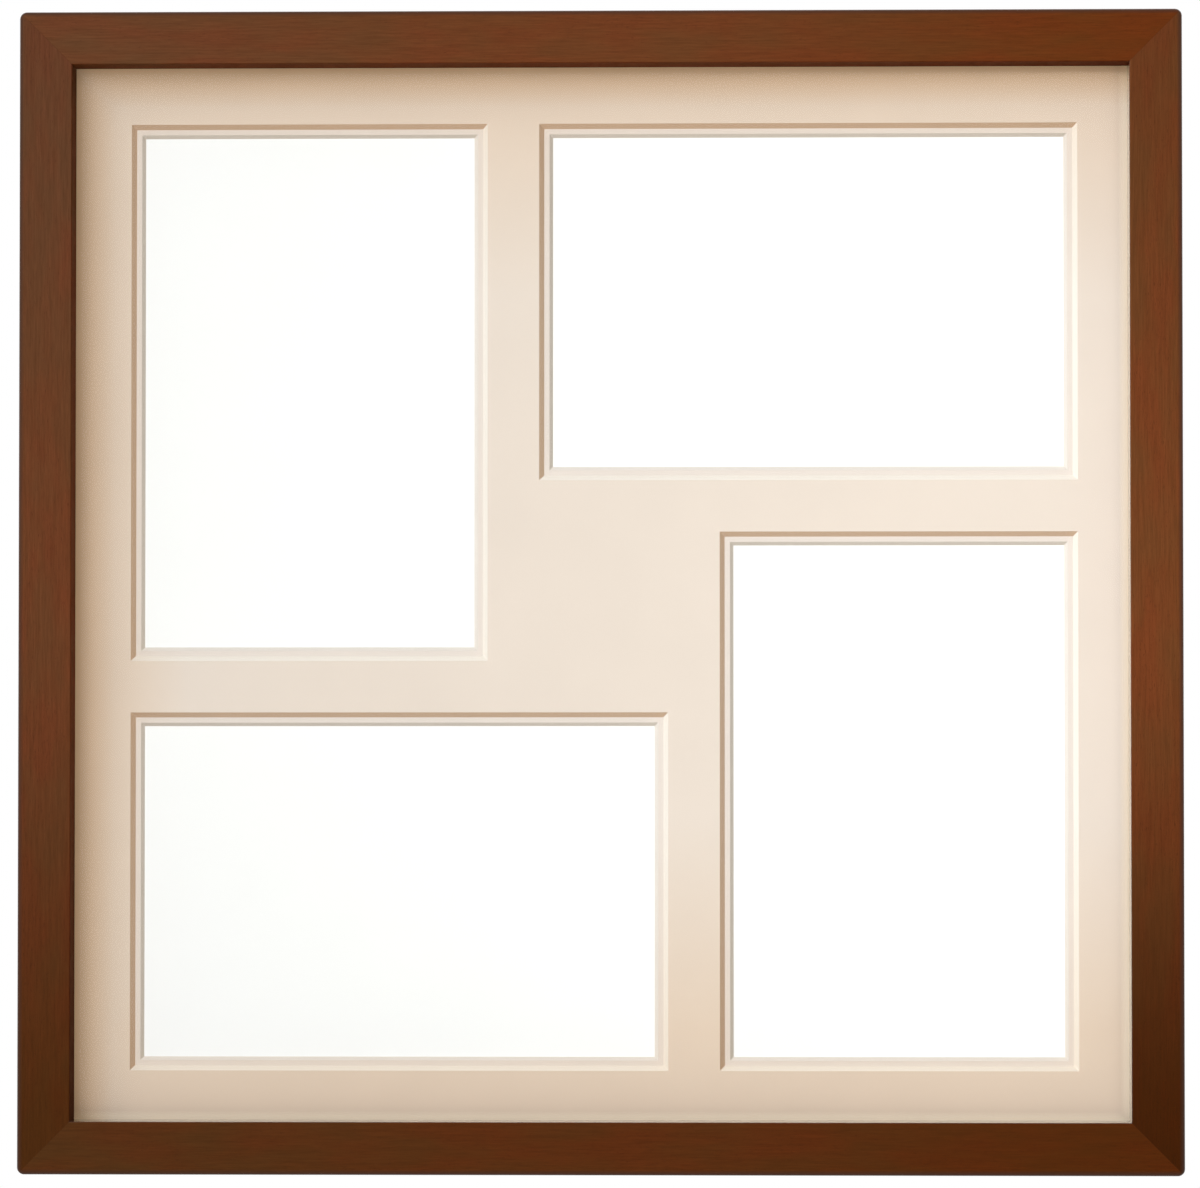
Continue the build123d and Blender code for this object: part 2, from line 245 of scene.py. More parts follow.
class Graph:
    """A node tree, with short ways to add nodes and join them."""

    def __init__(self, tree):
        self.tree = tree

    def feed(self, socket, value):
        """Joins a node's output to a socket, or sets a plain value on it."""
        if isinstance(value, bpy.types.NodeSocket):
            self.tree.links.new(value, socket)
        elif socket.type == "RGBA" and len(value) == 3:
            socket.default_value = (*value, 1.0)
        else:
            socket.default_value = value

    def add(self, kind, settings=(), inputs=()):
        """A new node with these settings and inputs."""
        node = self.tree.nodes.new(kind)
        for name, value in dict(settings).items():
            setattr(node, name, value)
        for name, value in dict(inputs).items():
            self.feed(node.inputs[name], value)
        return node

    def group(self, effect, inputs):
        """The outputs of an effect, placed here with its own values."""
        return self.add("ShaderNodeGroup", {"node_tree": effect}, inputs).outputs

    def math(self, operation, first, second=0.0):
        """Two values brought together."""
        inputs = {0: first, 1: second}
        return self.add("ShaderNodeMath", {"operation": operation}, inputs).outputs[0]

    def plus(self, first, second):
        """The sum of two values."""
        return self.math("ADD", first, second)

    def minus(self, first, second):
        """The first value less the second."""
        return self.math("SUBTRACT", first, second)

    def times(self, first, second):
        """The product of two values."""
        return self.math("MULTIPLY", first, second)

    def larger(self, first, second):
        """The larger of two values."""
        return self.math("MAXIMUM", first, second)

    def spread(self, value, low, high, to_low=0.0, to_high=1.0, ease="LINEAR"):
        """A value stretched from one range to another, and held inside it."""
        inputs = {
            "Value": value, "From Min": low, "From Max": high,
            "To Min": to_low, "To Max": to_high,
        }
        settings = {"clamp": True, "interpolation_type": ease}
        return self.add("ShaderNodeMapRange", settings, inputs).outputs[0]

    def blend(self, share_of_second, first, second):
        """One colour mixed into another."""
        inputs = {0: share_of_second, 6: first, 7: second}
        return self.add("ShaderNodeMix", {"data_type": "RGBA"}, inputs).outputs[2]

    def tinted(self, share_of_tint, colour_before, tint):
        """A colour, multiplied by a tint where the share is 1."""
        inputs = {0: share_of_tint, 6: colour_before, 7: tint}
        settings = {"data_type": "RGBA", "blend_type": "MULTIPLY"}
        return self.add("ShaderNodeMix", settings, inputs).outputs[2]

    def stretched(self, vector, along, across):
        """Coordinates in which a mark this long and wide has a size of 1."""
        size = self.add("ShaderNodeCombineXYZ", (), {0: along, 1: across, 2: across}).outputs[0]
        inputs = {0: vector, 1: size}
        return self.add("ShaderNodeVectorMath", {"operation": "DIVIDE"}, inputs).outputs[0]

    def noise(self, vector, detail=2.0, roughness=0.5):
        """Soft seeded noise with marks of size 1."""
        inputs = {"Vector": vector, "Scale": 1.0, "Detail": detail, "Roughness": roughness}
        return self.add("ShaderNodeTexNoise", (), inputs).outputs[0]

    def axes(self, vector):
        """The three values of a vector."""
        return self.add("ShaderNodeSeparateXYZ", (), {0: vector}).outputs

    def bump(self, height, depth):
        """A normal that shows a height from 0 to 1 as this much depth."""
        inputs = {"Height": height, "Distance": depth, "Strength": 1.0}
        return self.add("ShaderNodeBump", (), inputs).outputs[0]


def new_effect(name, inputs, outputs):
    """An empty node group, with its graph, its inputs and its outputs."""
    kinds = {"colour": "NodeSocketColor", "value": "NodeSocketFloat", "vector": "NodeSocketVector"}
    tree = bpy.data.node_groups.new(name, "ShaderNodeTree")
    for in_out, sockets in (("INPUT", inputs), ("OUTPUT", outputs)):
        for socket_name, kind in sockets.items():
            tree.interface.new_socket(socket_name, in_out=in_out, socket_type=kinds[kind])
    graph = Graph(tree)
    return graph, graph.add("NodeGroupInput").outputs, graph.add("NodeGroupOutput").inputs


def effect(build):
    """The node group that a function builds under its own name, built only once."""
    name = build.__name__
    return bpy.data.node_groups.get(name) or build(name)


def square_reach(name):
    """How far a point is from the middle of the frame, along X or Z."""
    graph, given, made = new_effect(name, {"Vector": "vector"}, {"Reach": "value"})
    x, _, z = graph.axes(given["Vector"])
    rise = graph.math("ABSOLUTE", graph.minus(z, middle.z))
    graph.feed(made["Reach"], graph.larger(graph.math("ABSOLUTE", x), rise))
    return graph.tree


def facing_light(name):
    """1 on faces that face left or up, and 0 on faces that face right or down."""
    graph, given, made = new_effect(name, {"Normal": "vector"}, {"Facing": "value"})
    right, _, up = graph.axes(given["Normal"])
    graph.feed(made["Facing"], graph.spread(graph.minus(up, right), -0.2, 0.2))
    return graph.tree


def wood_grain(name):
    """Stained wood with fine streaks, olive and red patches, and open pores along X."""
    graph, given, made = new_effect(
        name,
        {
            "Along Grain": "vector", "Stain": "colour", "Olive Stain": "colour",
            "Red Stain": "colour", "Pore": "colour", "Streak Length": "value",
            "Streak Width": "value", "Pore Length": "value", "Pore Width": "value",
        },
        {"Color": "colour", "Roughness": "value", "Height": "value"},
    )
    vector = given["Along Grain"]
    patch_length = graph.times(given["Streak Length"], 2.2)
    patch_width = graph.times(given["Streak Width"], 12.0)
    patches = graph.noise(graph.stretched(vector, patch_length, patch_width), 2.0)
    # Low patches are olive, high ones are red, and the plain stain lies between them
    wood = graph.blend(graph.spread(patches, 0.36, 0.5), given["Olive Stain"], given["Stain"])
    wood = graph.blend(graph.spread(patches, 0.5, 0.64), wood, given["Red Stain"])

    streaks = graph.noise(
        graph.stretched(vector, given["Streak Length"], given["Streak Width"]), 3.0, 0.6,
    )
    fibre_length = graph.times(given["Streak Length"], 0.35)
    fibre_width = graph.times(given["Streak Width"], 0.4)
    fibres = graph.noise(graph.stretched(vector, fibre_length, fibre_width), 1.0)
    tone = graph.plus(graph.times(streaks, 0.65), graph.times(fibres, 0.35))
    tone = graph.spread(tone, 0.34, 0.66)
    inputs = {0: wood, "Scale": graph.spread(tone, 0.0, 1.0, 0.84, 1.16)}
    wood = graph.add("ShaderNodeVectorMath", {"operation": "SCALE"}, inputs).outputs[0]

    # Only the peaks of the noise are pores, and more of them are in the red patches
    pores = graph.noise(
        graph.stretched(vector, given["Pore Length"], given["Pore Width"]), 0.0,
    )
    crowded = graph.spread(patches, 0.35, 0.65, 0.74, 0.68)
    inputs = {"Value": pores, "From Min": crowded, "From Max": graph.plus(crowded, 0.08)}
    open_pores = graph.add("ShaderNodeMapRange", {"clamp": True}, inputs).outputs[0]
    wood = graph.blend(graph.times(open_pores, 0.35), wood, given["Pore"])

    graph.feed(made["Color"], wood)
    rough = graph.spread(tone, 0.0, 1.0, 0.36, 0.28)
    graph.feed(made["Roughness"], graph.plus(rough, graph.times(open_pores, 0.2)))
    height = graph.minus(graph.times(tone, 0.4), open_pores)
    graph.feed(made["Height"], height)
    return graph.tree


def paper_tooth(name):
    """Paper with a fine even tooth, faint clouds and short fibres."""
    graph, given, made = new_effect(
        name,
        {"Vector": "vector", "Paper": "colour", "Shade": "colour", "Tooth Size": "value"},
        {"Color": "colour", "Height": "value"},
    )
    size = given["Tooth Size"]
    tooth = graph.noise(graph.stretched(given["Vector"], size, size), 2.0, 0.6)
    cloud_size = graph.times(size, 60.0)
    clouds = graph.noise(graph.stretched(given["Vector"], cloud_size, cloud_size), 3.0)
    fibre_length = graph.times(size, 8.0)
    fibre_width = graph.times(size, 0.5)
    fibres = graph.noise(graph.stretched(given["Vector"], fibre_length, fibre_width), 1.0)
    mark = graph.plus(graph.times(tooth, 0.4), graph.times(clouds, 0.6))
    paper = graph.blend(graph.spread(mark, 0.35, 0.65), given["Shade"], given["Paper"])
    few = graph.spread(fibres, 0.7, 0.8, 0.0, 0.35)
    graph.feed(made["Color"], graph.blend(few, paper, given["Shade"]))
    graph.feed(made["Height"], graph.plus(tooth, graph.times(fibres, 0.3)))
    return graph.tree


def plated_sheet(name):
    """Metal sheet with fine brush marks, dull spots and a soft unevenness."""
    graph, given, made = new_effect(
        name,
        {
            "Vector": "vector", "Plating": "colour", "Tarnish": "colour",
            "Brush Length": "value", "Dullness": "value",
        },
        {"Color": "colour", "Roughness": "value", "Height": "value"},
    )
    width = graph.times(given["Brush Length"], 0.06)
    brushed = graph.noise(graph.stretched(given["Vector"], given["Brush Length"], width), 2.0)
    spot_size = graph.times(given["Brush Length"], 0.8)
    spots = graph.noise(graph.stretched(given["Vector"], spot_size, spot_size), 4.0, 0.6)
    dull = graph.spread(spots, 0.45, 0.75)
    plating = graph.blend(graph.times(dull, 0.3), given["Plating"], given["Tarnish"])
    graph.feed(made["Color"], plating)
    rough = graph.plus(given["Dullness"], graph.times(dull, 0.1))
    graph.feed(made["Roughness"], graph.plus(rough, graph.spread(brushed, 0.3, 0.7, -0.04, 0.06)))
    graph.feed(made["Height"], graph.plus(brushed, graph.times(spots, 0.4)))
    return graph.tree


def new_finish(name):
    """A material with an empty surface shader, and the graph that holds it."""
    material = bpy.data.materials.new(name)
    material.use_nodes = True
    graph = Graph(material.node_tree)
    graph.tree.nodes.clear()
    shader = graph.add("ShaderNodeBsdfPrincipled")
    graph.add("ShaderNodeOutputMaterial", (), {"Surface": shader.outputs[0]})
    return material, graph, shader.inputs


def give(material, *names):
    """Puts a material on every slot of these pieces."""
    for name in names:
        for slot in nodes[name].material_slots:
            slot.material = material


def named(start):
    """The pieces whose names start this way."""
    return sorted(name for name in nodes if name.startswith(start))


def rail_tone_and_painted_shade(graph, name, grain_colour, x, rise):
    """The colour of the grain, toned from one end of its rail by the middle to the other: partly the
    rail's own tone and partly painted shade, darker towards the bottom.
    """
    turn, _, first_tone, middle_tone, last_tone = RAILS[name]
    run = rise if turn else x
    lower = graph.spread(run, -half_side, 0.0, ease="SMOOTHSTEP")
    upper = graph.spread(run, 0.0, half_side, ease="SMOOTHSTEP")
    tone = graph.blend(upper, graph.blend(lower, first_tone, middle_tone), last_tone)
    inputs = {0: grain_colour, 1: tone}
    return graph.add("ShaderNodeVectorMath", {"operation": "MULTIPLY"}, inputs).outputs[0]


def arris_shade_mask(graph, coordinates, y, settings):
    """How much painted shade and grey painted reflection the wood takes: fully over the outer part of
    the rounded front edge.
    """
    reach = graph.group(effect(square_reach), {"Vector": coordinates["Object"]})["Reach"]
    width = settings.arris_shade_width
    full_shade = half_side - 0.4 * width
    near_side = graph.spread(reach, half_side - width, full_shade)
    near_front = graph.spread(y, front + width, front + 2 * width, 1.0, 0.0)
    return graph.times(near_side, near_front)


def lip_walls(graph, normal, x, rise):
    """The lip's inner walls: those that face left or up, and those that face right or down."""
    normal_x, _, normal_z = graph.axes(normal)
    # Minus the distance from the middle on walls that face it, and 0 or more elsewhere
    outward = graph.plus(graph.times(normal_x, x), graph.times(normal_z, rise))
    inner = graph.spread(outward, -0.8 * sight_half, -0.4 * sight_half, 1.0, 0.0)
    lit = graph.times(inner, graph.group(effect(facing_light), {"Normal": normal})["Facing"])
    return lit, graph.minus(inner, lit)


def mitre_seam(graph, x, rise, settings):
    """The fine seam where two rails meet at a corner."""
    off_mitre = graph.minus(graph.math("ABSOLUTE", x), graph.math("ABSOLUTE", rise))
    half_width = settings.seam_width / 2
    soft_from = 0.2 * half_width
    return graph.spread(graph.math("ABSOLUTE", off_mitre), soft_from, half_width, 1.0, 0.0)


def rail_finish(name, settings):
    """Stained and lacquered wood whose grain runs along one rail."""
    turn, place = RAILS[name][:2]
    material, graph, shader = new_finish("stained_" + name)
    coordinates = graph.add("ShaderNodeTexCoord").outputs
    x, y, z = graph.axes(coordinates["Object"])
    rise = graph.minus(z, middle.z)
    inputs = {
        "Vector": coordinates["Object"], "Rotation": (0.0, turn, 0.0),
        "Location": place * TIMBER_STEP,
    }
    grain = graph.group(effect(wood_grain), {
        "Along Grain": graph.add("ShaderNodeMapping", (), inputs).outputs[0],
        "Stain": settings.stain, "Olive Stain": settings.olive_stain,
        "Red Stain": settings.red_stain, "Pore": settings.pore,
        "Streak Length": settings.streak_length, "Streak Width": settings.streak_width,
        "Pore Length": settings.pore_length, "Pore Width": settings.pore_width,
    })
    wood = rail_tone_and_painted_shade(graph, name, grain["Color"], x, rise)
    # Painted shade and a grey painted reflection on the rounded outer edge
    arris_shade = arris_shade_mask(graph, coordinates, y, settings)
    wood = graph.blend(graph.times(arris_shade, settings.arris_shade_share), wood, settings.arris_shade)
    facing_back = graph.spread(graph.axes(coordinates["Normal"])[1], 0.5, 0.9)
    wood = graph.blend(graph.times(facing_back, settings.bare_share), wood, settings.bare)
    polished, shaded = lip_walls(graph, coordinates["Normal"], x, rise)
    wood = graph.tinted(shaded, wood, settings.lip_shade)
    seam = mitre_seam(graph, x, rise, settings)
    wood = graph.blend(graph.times(seam, settings.seam_share), wood, settings.pore)
    graph.feed(shader["Base Color"], wood)

    back_dullness = graph.times(facing_back, settings.back_dullness)
    lip_dullness = graph.times(shaded, settings.lip_dullness)
    duller = graph.plus(back_dullness, lip_dullness)
    graph.feed(shader["Roughness"], graph.plus(grain["Roughness"], duller))
    shader["Specular IOR Level"].default_value = 0.2
    shader["Specular Tint"].default_value = (*settings.sheen, 1.0)
    # The lit walls of the lip mirror the mat beside them
    graph.feed(shader["Coat Weight"], polished)
    shader["Coat Roughness"].default_value = 0.08
    shader["Coat IOR"].default_value = 1.7
    height = graph.times(graph.minus(grain["Height"], seam), graph.minus(1.0, polished))
    graph.feed(shader["Normal"], graph.bump(height, settings.pore_depth))
    return material


def board_colour(graph, coordinates, face, cores, falloff_shade_share, settings):
    """A board's colour: painted shade that darkens and warms it towards its rim, a painted lip shadow
    beside the left and top rails, painted bounce light beside the right and bottom rails, and its core
    on the cuts, with painted shade on the cuts that face right or down.
    """
    x, _, z = graph.axes(coordinates["Object"])
    rise = graph.minus(z, middle.z)
    leftward = graph.times(x, -1.0)
    rim = sight_half
    # The painted shade is full over the outer fifth of the bands and the outer third of the side
    lifted = graph.math("ABSOLUTE", graph.minus(rise, settings.falloff_shade_lift))
    ends = graph.spread(lifted, rim - settings.falloff_shade_width, rim - settings.falloff_shade_width / 5)
    side = graph.spread(leftward, rim - settings.falloff_shade_side, rim - settings.falloff_shade_side / 3)
    falloff_shade = graph.times(graph.larger(ends, side), falloff_shade_share)
    face = graph.tinted(falloff_shade, face, settings.falloff_shade_tone)

    # The paper faces -Y, and the cuts lean away from it
    slant = graph.spread(graph.axes(coordinates["Normal"])[1], -0.95, -0.85)
    facing = graph.group(effect(facing_light), {"Normal": coordinates["Normal"]})["Facing"]
    core, painted_shade_core = cores
    # The cuts that face right or down take painted shade; those that face left or up keep the core's
    # colour
    cuts = graph.blend(facing, painted_shade_core, core)
    # The painted shade also darkens the cuts
    cuts = graph.tinted(graph.times(falloff_shade, settings.cut_falloff_shade), cuts, settings.falloff_shade_tone)
    face = graph.blend(slant, face, cuts)
    # Painted bounce light, warm and pale, on the board beside the right and bottom rails
    glow = graph.spread(graph.larger(x, graph.times(rise, -1.0)), rim - settings.glow_width, rim)
    face = graph.blend(glow, face, settings.glow)
    # Painted shadow of the lip on the board beside the left and top rails
    lip_shadow = graph.spread(graph.larger(leftward, rise), rim - settings.edge_width, rim)
    return graph.tinted(lip_shadow, face, settings.lip_shadow_tone)


def paper_finish(name, paper, clouds, settings, cores=None, falloff_shade_share=1.0):
    """Paper or board with a fine tooth. A board has a core that shows at its cuts."""
    material, graph, shader = new_finish(name)
    coordinates = graph.add("ShaderNodeTexCoord").outputs
    tooth = graph.group(effect(paper_tooth), {
        "Vector": coordinates["Object"], "Paper": paper,
        "Shade": [value * clouds for value in paper],
        "Tooth Size": settings.tooth_size,
    })
    face = tooth["Color"]
    if cores:
        face = board_colour(graph, coordinates, face, cores, falloff_shade_share, settings)
    graph.feed(shader["Base Color"], face)
    shader["Roughness"].default_value = 0.85
    shader["Specular IOR Level"].default_value = 0.1
    graph.feed(shader["Normal"], graph.bump(tooth["Height"], settings.tooth_depth))
    return material


def glass_finish(name):
    """Clear low-reflection glass that lets the lamps through to the mats behind it."""
    material, graph, shader = new_finish(name)
    shader["Base Color"].default_value = (0.985, 0.995, 0.99, 1.0)
    shader["Roughness"].default_value = 0.0
    shader["IOR"].default_value = 1.15
    shader["Transmission Weight"].default_value = 1.0
    rays = graph.add("ShaderNodeLightPath").outputs
    passes = graph.larger(rays["Is Shadow Ray"], rays["Is Diffuse Ray"])
    clear = graph.add("ShaderNodeBsdfTransparent").outputs[0]
    surface = graph.tree.nodes["Principled BSDF"].outputs[0]
    mixed = graph.add("ShaderNodeMixShader", (), {0: passes, 1: surface, 2: clear}).outputs[0]
    graph.feed(graph.tree.nodes["Material Output"].inputs["Surface"], mixed)
    return material


def slanted_fibres(graph, vector, slants, size):
    """Thin straight fibres of this length that lie in these ways."""
    fibres = 0.0
    for slant in slants:
        inputs = {
            "Vector": vector, "Rotation": (0.0, slant, 0.0), "Location": (slant, 0.0, slant),
        }
        turned = graph.add("ShaderNodeMapping", (), inputs).outputs[0]
        strands = graph.noise(graph.stretched(turned, size, size * 0.1), 0.0)
        fibres = graph.larger(fibres, graph.spread(strands, 0.72, 0.8))
    return fibres


def hardboard_finish(name, settings):
    """Pressed wood fibre with dark and pale fibres and a faint grit."""
    material, graph, shader = new_finish(name)
    vector = graph.add("ShaderNodeTexCoord").outputs["Object"]
    size = settings.fibre_length
    grit = graph.noise(graph.stretched(vector, size * 0.2, size * 0.2), 4.0, 0.7)
    clouds = graph.noise(graph.stretched(vector, size * 12.0, size * 12.0), 2.0)
    mark = graph.plus(graph.times(grit, 0.88), graph.times(clouds, 0.12))
    board = graph.blend(graph.spread(mark, 0.3, 0.6), settings.fibre, settings.hardboard)
    dark = slanted_fibres(graph, vector, DARK_FIBRE_SLANTS, size)
    pale = slanted_fibres(graph, vector, PALE_FIBRE_SLANTS, size)
    board = graph.blend(graph.times(dark, 0.6), board, settings.fibre)
    board = graph.blend(graph.times(pale, 0.45), board, settings.pale_fibre)
    graph.feed(shader["Base Color"], board)
    graph.feed(shader["Roughness"], graph.spread(grit, 0.3, 0.7, 0.6, 0.46))
    shader["Specular IOR Level"].default_value = 0.3
    graph.feed(shader["Normal"], graph.bump(graph.minus(grit, dark), settings.fibre_depth))
    return material


def metal_finish(name, plating, dullness, settings):
    """Steel sheet or wire, plated or bare, with fine marks."""
    material, graph, shader = new_finish(name)
    vector = graph.add("ShaderNodeTexCoord").outputs["Object"]
    sheet = graph.group(effect(plated_sheet), {
        "Vector": vector, "Plating": plating, "Tarnish": settings.tarnish,
        "Brush Length": settings.brush_length, "Dullness": dullness,
    })
    graph.feed(shader["Base Color"], sheet["Color"])
    graph.feed(shader["Roughness"], sheet["Roughness"])
    shader["Metallic"].default_value = 1.0
    graph.feed(shader["Normal"], graph.bump(sheet["Height"], settings.brush_depth))
    return material


def rubber_finish(name, settings):
    """Moulded rubber with a fine matt grain and a little dust."""
    material, graph, shader = new_finish(name)
    vector = graph.add("ShaderNodeTexCoord").outputs["Object"]
    size = settings.rubber_grain
    grain = graph.noise(graph.stretched(vector, size, size), 3.0, 0.6)
    specks = graph.noise(graph.stretched(vector, size * 4.0, size * 4.0), 4.0, 0.7)
    dust = graph.spread(specks, 0.52, 0.75, 0.0, 0.25)
    graph.feed(shader["Base Color"], graph.blend(dust, settings.rubber, settings.tarnish))
    graph.feed(shader["Roughness"], graph.spread(grain, 0.3, 0.7, 0.7, 0.85))
    shader["Specular IOR Level"].default_value = 0.35
    graph.feed(shader["Normal"], graph.bump(grain, settings.rubber_depth))
    return material


class PHOTOFRAME_OT_rails(bpy.types.Operator):
    """Stain and lacquer the four mitred rails"""

    bl_idname = "photo_frame.rails"
    bl_label = "Rails"

    def execute(self, context):
        for name in RAILS:
            give(rail_finish(name, context.scene.frame_wood), name)
        return {"FINISHED"}


class PHOTOFRAME_OT_mats(bpy.types.Operator):
    """Face the two mats with cream paper and show their core at the windows"""

    bl_idname = "photo_frame.mats"
    bl_label = "Mats"

    def execute(self, context):
        settings = context.scene.frame_mats
        clouds = settings.board_clouds
        cores = (settings.core, settings.painted_shade_core)
        give(paper_finish("top_mat_board", settings.board, clouds, settings, cores), "top_mat")
        cores = (settings.under_core, settings.under_painted_shade_core)
        under = paper_finish(
            "under_mat_board", settings.under_board, clouds, settings, cores, settings.under_falloff_shade,
        )
        give(under, "under_mat")
        return {"FINISHED"}


class PHOTOFRAME_OT_cards(bpy.types.Operator):
    """Give the cards in the windows a blank white finish, and the tape behind them a paper finish"""

    bl_idname = "photo_frame.cards"
    bl_label = "Cards and tape"

    def execute(self, context):
        settings = context.scene.frame_mats
        card = paper_finish("blank_card", settings.card, settings.card_clouds, settings)
        tape = paper_finish("paper_tape", settings.tape, settings.tape_clouds, settings)
        give(card, *named("photo_card"))
        give(tape, "card_tapes")
        return {"FINISHED"}


class PHOTOFRAME_OT_glass(bpy.types.Operator):
    """Give the pane a clear glass finish, and draw it a little clear of the mat"""

    bl_idname = "photo_frame.glass"
    bl_label = "Glass"

    def execute(self, context):
        give(glass_finish("clear_pane"), "glass_pane")
        inset = nodes["glass_pane"].modifiers.new("Clear of the mat", "DISPLACE")
        inset.strength = -PANE_INSET
        inset.mid_level = 0.0
        return {"FINISHED"}


class PHOTOFRAME_OT_backing(bpy.types.Operator):
    """Give the backing board a hardboard finish"""

    bl_idname = "photo_frame.backing"
    bl_label = "Backing board"

    def execute(self, context):
        give(hardboard_finish("pressed_hardboard", context.scene.frame_back), "backing_board")
        return {"FINISHED"}


class PHOTOFRAME_OT_fittings(bpy.types.Operator):
    """Plate the turn buttons, screws, strap hangers and rings, and leave the V-nails bare"""

    bl_idname = "photo_frame.fittings"
    bl_label = "Fittings"

    def execute(self, context):
        settings = context.scene.frame_back
        plated = named("turn_button") + named("strap_hanger") + named("hanger_")
        plate = metal_finish("nickel_plate", settings.steel, settings.plate_dullness, settings)
        bare = metal_finish("bare_steel", settings.bare_steel, settings.bare_dullness, settings)
        give(plate, *plated)
        give(bare, "corner_v_nails")
        return {"FINISHED"}


class PHOTOFRAME_OT_bumpers(bpy.types.Operator):
    """Give the two wall bumpers on the bottom rail a rubber finish"""

    bl_idname = "photo_frame.bumpers"
    bl_label = "Wall bumpers"

    def execute(self, context):
        give(rubber_finish("bumper_rubber", context.scene.frame_back), "wall_bumpers")
        return {"FINISHED"}


def seen_or_mirrored(graph):
    """1 for rays from the camera, or by way of metal or glass, and 0 for rays that light things."""
    rays = graph.add("ShaderNodeLightPath").outputs
    mirrored = graph.larger(rays["Is Glossy Ray"], rays["Is Transmission Ray"])
    return graph.larger(rays["Is Camera Ray"], mirrored)


def white_surroundings(settings):
    """A world that shows white and lights the shadows a little."""
    world = bpy.data.worlds.new("white_surroundings")
    world.use_nodes = True
    graph = Graph(world.node_tree)
    graph.tree.nodes.clear()
    fill = graph.add(
        "ShaderNodeBackground", (), {"Color": (1, 1, 1), "Strength": settings.fill},
    ).outputs[0]
    white = graph.add("ShaderNodeBackground", (), {"Color": (1, 1, 1), "Strength": 1.0}).outputs[0]
    inputs = {0: seen_or_mirrored(graph), 1: fill, 2: white}
    surface = graph.add("ShaderNodeMixShader", (), inputs).outputs[0]
    graph.add("ShaderNodeOutputWorld", (), {"Surface": surface})
    bpy.context.scene.world = world


def pale_floor(settings):
    """A round floor below the frame that fades into the white round it."""
    mesh = bpy.data.meshes.new("floor")
    shape = bmesh.new()
    bmesh.ops.create_circle(shape, cap_ends=True, segments=96, radius=settings.floor_radius)
    shape.to_mesh(mesh)
    shape.free()
    floor = bpy.data.objects.new("floor", mesh)
    floor.location = (0.0, 0.0, bottom - settings.floor_drop)
    bpy.context.scene.collection.objects.link(floor)

    material, graph, shader = new_finish("pale_floor")
    vector = graph.add("ShaderNodeTexCoord").outputs["Object"]
    shader["Base Color"].default_value = (*settings.floor, 1.0)
    shader["Roughness"].default_value = 0.9
    shader["Specular IOR Level"].default_value = 0.1
    far = graph.add("ShaderNodeVectorMath", {"operation": "LENGTH"}, {0: vector}).outputs["Value"]
    fade_start, fade_end = (part * settings.floor_radius for part in FLOOR_FADE)
    fade = graph.spread(far, fade_start, fade_end, settings.floor_glow, 1.0)
    white = graph.add("ShaderNodeEmission", (), {"Color": (1, 1, 1), "Strength": 1.0}).outputs[0]
    share_of_white = graph.times(fade, seen_or_mirrored(graph))
    surface = graph.tree.nodes["Principled BSDF"].outputs[0]
    mixed = graph.add("ShaderNodeMixShader", (), {0: share_of_white, 1: surface, 2: white}).outputs[0]
    graph.feed(graph.tree.nodes["Material Output"].inputs["Surface"], mixed)
    mesh.materials.append(material)


def from_frame(azimuth, elevation, distance):
    """A place seen from the middle of the front: azimuth in degrees to the viewer's right."""
    across, up = math.radians(azimuth), math.radians(elevation)
    way = Vector((math.sin(across) * math.cos(up), -math.cos(across) * math.cos(up), math.sin(up)))
    return middle + way * distance


def aimed(name, data, place, target):
    """Puts a lamp or the camera in the scene, turned towards a target."""
    thing = bpy.data.objects.new(name, data)
    thing.location = place
    thing.rotation_euler = (target - place).to_track_quat("-Z", "Y").to_euler()
    bpy.context.scene.collection.objects.link(thing)
    return thing


def soft_lamp(name, place, side, brightness):
    """A square soft lamp that faces the frame. A brightness of 1 shows white up close."""
    data = bpy.data.lights.new(name, "AREA")
    data.size = side
    data.energy = brightness * side ** 2 * math.pi
    lamp = aimed(name, data, place, middle)
    lamp.visible_camera = False
    return lamp


def pool_lamp(name, place, target, radius, reach, brightness):
    """A spot lamp with a soft rim that lights a round pool on the frame."""
    data = bpy.data.lights.new(name, "SPOT")
    distance = (target - place).length
    # A lamp's light thins out with the square of its distance
    data.energy = brightness * 4 * math.pi ** 2 * distance ** 2
    data.shadow_soft_size = radius
    data.spot_size = 2 * math.atan(reach / distance)
    data.spot_blend = 1.0
    aimed(name, data, place, target).visible_camera = False


def photo_camera():
    """A long lens, a little right of the frame's middle and below it."""
    data = bpy.data.cameras.new("photo_camera")
    data.sensor_width = 36.0
    data.lens = CAMERA_LENS
    data.clip_start = 0.05
    camera = aimed("photo_camera", data, middle + CAMERA_PLACE, middle + CAMERA_AIM)
    bpy.context.scene.camera = camera


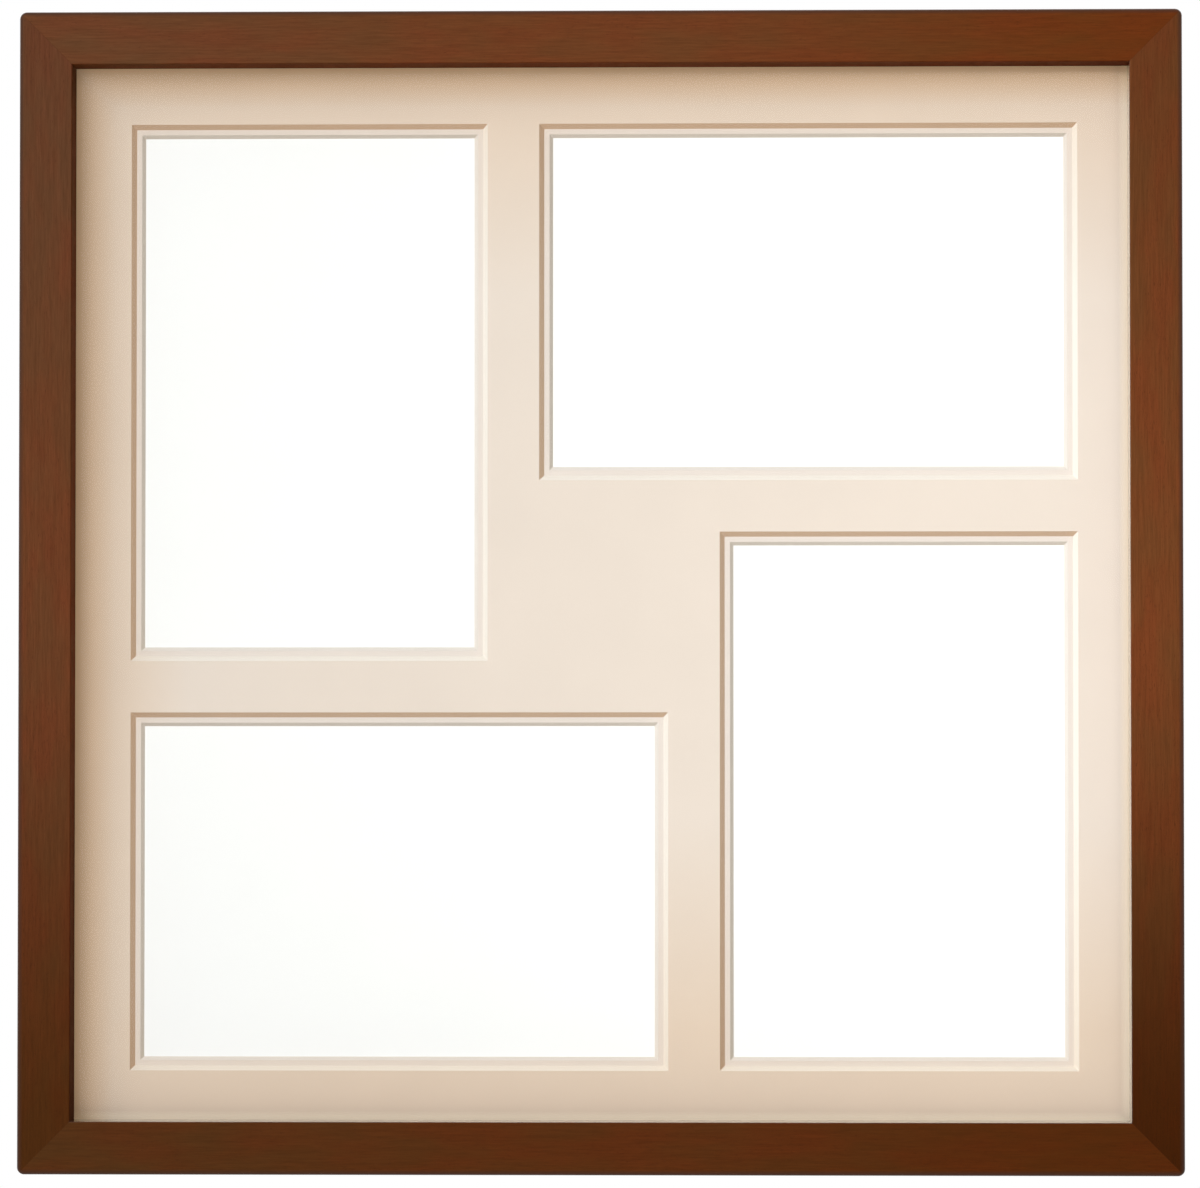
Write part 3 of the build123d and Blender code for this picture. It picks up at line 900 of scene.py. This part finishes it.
class PHOTOFRAME_OT_stage(bpy.types.Operator):
    """Set the floor, the lamps and the camera"""

    bl_idname = "photo_frame.stage"
    bl_label = "Stage"

    def execute(self, context):
        settings = context.scene.frame_stage
        white_surroundings(settings)
        pale_floor(settings)
        soft_lamp("key_lamp", from_frame(*KEY_PLACE), KEY_SIDE, settings.key)
        front_lamp = soft_lamp("front_lamp", from_frame(*FRONT_PLACE), FRONT_SIDE, settings.front_fill)
        front_lamp.visible_glossy = False
        right_middle = middle + Vector((half_side, 0.0, 0.0))
        pool_lamp("pool_lamp", from_frame(*POOL_PLACE), right_middle, *POOL_SIZES, settings.pool)
        soft_lamp("rear_lamp", from_frame(*REAR_PLACE), REAR_SIDE, settings.rear)
        photo_camera()
        context.scene.view_settings.view_transform = "Standard"
        return {"FINISHED"}


class PHOTOFRAME_PT_finishes(bpy.types.Panel):
    """The finishes of the frame, and the steps that apply them"""

    bl_label = "Photo Frame"
    bl_idname = "PHOTOFRAME_PT_finishes"
    bl_space_type = "VIEW_3D"
    bl_region_type = "UI"
    bl_category = "Photo Frame"

    def draw(self, context):
        for settings_name, operators in PANEL_PARTS.items():
            box = self.layout.box()
            settings = getattr(context.scene, settings_name)
            for name in settings.__annotations__:
                box.prop(settings, name)
            for operator in operators:
                box.operator(operator.bl_idname)


SETTINGS = {
    "frame_wood": WoodSettings,
    "frame_mats": MatSettings,
    "frame_back": BackSettings,
    "frame_stage": StageSettings,
}
PANEL_PARTS = {
    "frame_wood": (PHOTOFRAME_OT_rails,),
    "frame_mats": (PHOTOFRAME_OT_mats, PHOTOFRAME_OT_cards, PHOTOFRAME_OT_glass),
    "frame_back": (PHOTOFRAME_OT_backing, PHOTOFRAME_OT_fittings, PHOTOFRAME_OT_bumpers),
    "frame_stage": (PHOTOFRAME_OT_stage,),
}
OPERATORS = [operator for part in PANEL_PARTS.values() for operator in part]
CLASSES = [*SETTINGS.values(), *OPERATORS, PHOTOFRAME_PT_finishes]


def register():
    """Adds the settings, the operators and the panel."""
    for each in CLASSES:
        bpy.utils.register_class(each)
    for name, group in SETTINGS.items():
        setattr(bpy.types.Scene, name, PointerProperty(type=group))


def unregister():
    """Takes them away again."""
    for name in SETTINGS:
        delattr(bpy.types.Scene, name)
    for each in reversed(CLASSES):
        bpy.utils.unregister_class(each)


def main():
    """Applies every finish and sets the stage."""
    register()
    for operator in OPERATORS:
        family, step = operator.bl_idname.split(".")
        getattr(getattr(bpy.ops, family), step)()


if __name__ == "__main__":
    main()
